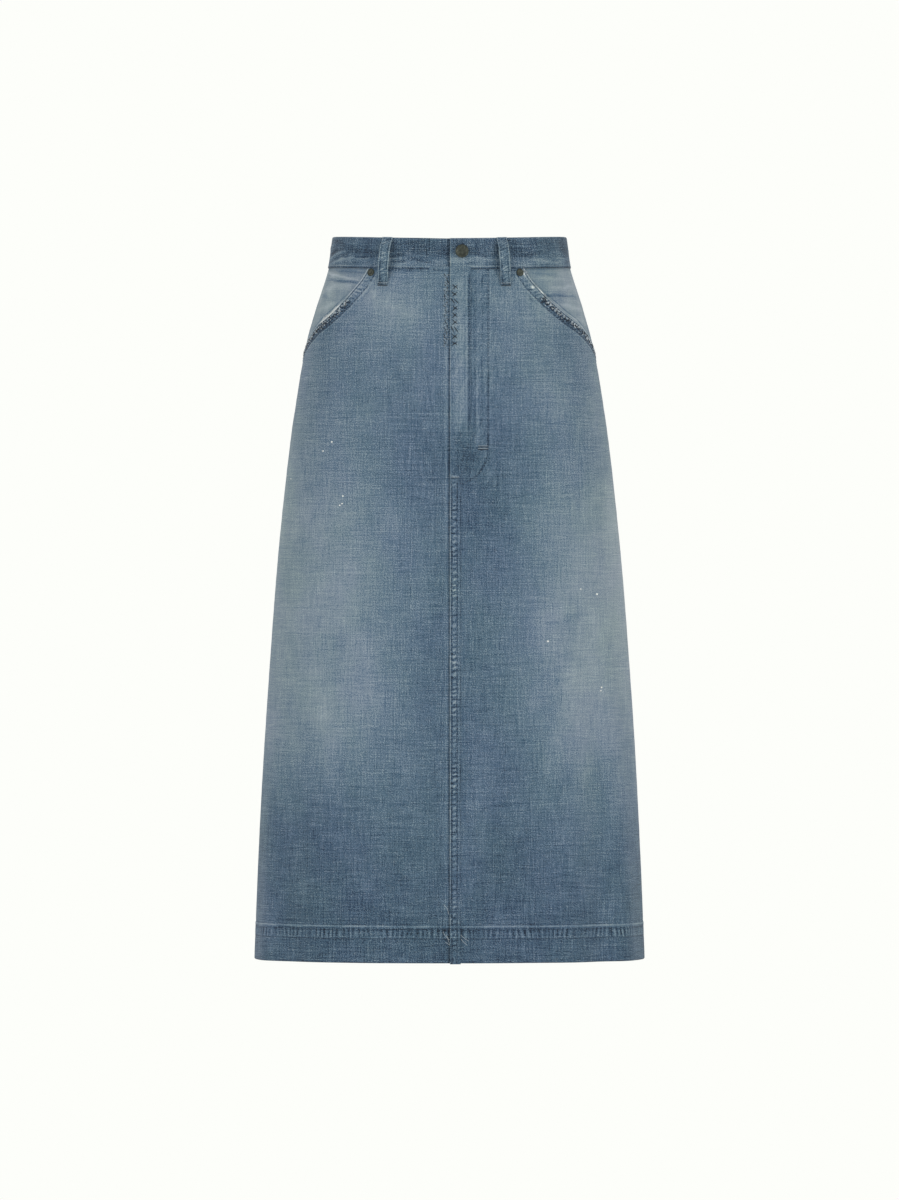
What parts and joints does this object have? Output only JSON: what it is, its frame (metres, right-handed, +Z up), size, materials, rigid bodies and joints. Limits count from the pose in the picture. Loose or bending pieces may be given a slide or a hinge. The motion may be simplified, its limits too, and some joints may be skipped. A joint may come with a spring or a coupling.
{
  "type": "denim skirt",
  "caption": "Midi denim skirt in its worn shape, open at waist and hem, with a buttoned waistband, belt loops, riveted scoop pockets, lapped centre seams and a turned-up hem.",
  "frame": {"origin": "middle of the waist opening, halfway up the waistband", "axes": "+Z up the body, the front faces -Y, +X is the wearer's left"},
  "size_m": [0.4678, 0.2674, 0.8668],
  "materials": {
    "denim": "faded mid-blue cotton twill",
    "faded_denim": "paler, more worn cotton twill",
    "band_denim": "darker cotton twill, worn at the edges",
    "dark_brass": "dark aged brass, dull sheen"
  },
  "bodies": {
    "root": {"front_left": "denim", "front_right": "denim", "back_left": "denim", "back_right": "denim", "pocket_facing_left": "faded_denim", "pocket_facing_right": "faded_denim", "waistband": "band_denim", "belt_loop_front_left": "band_denim", "belt_loop_front_right": "band_denim", "belt_loop_back_left": "band_denim", "belt_loop_back_centre": "band_denim", "belt_loop_back_right": "band_denim", "button": "dark_brass", "rivet_left": "dark_brass", "rivet_right": "dark_brass"}
  },
  "joints": []
}
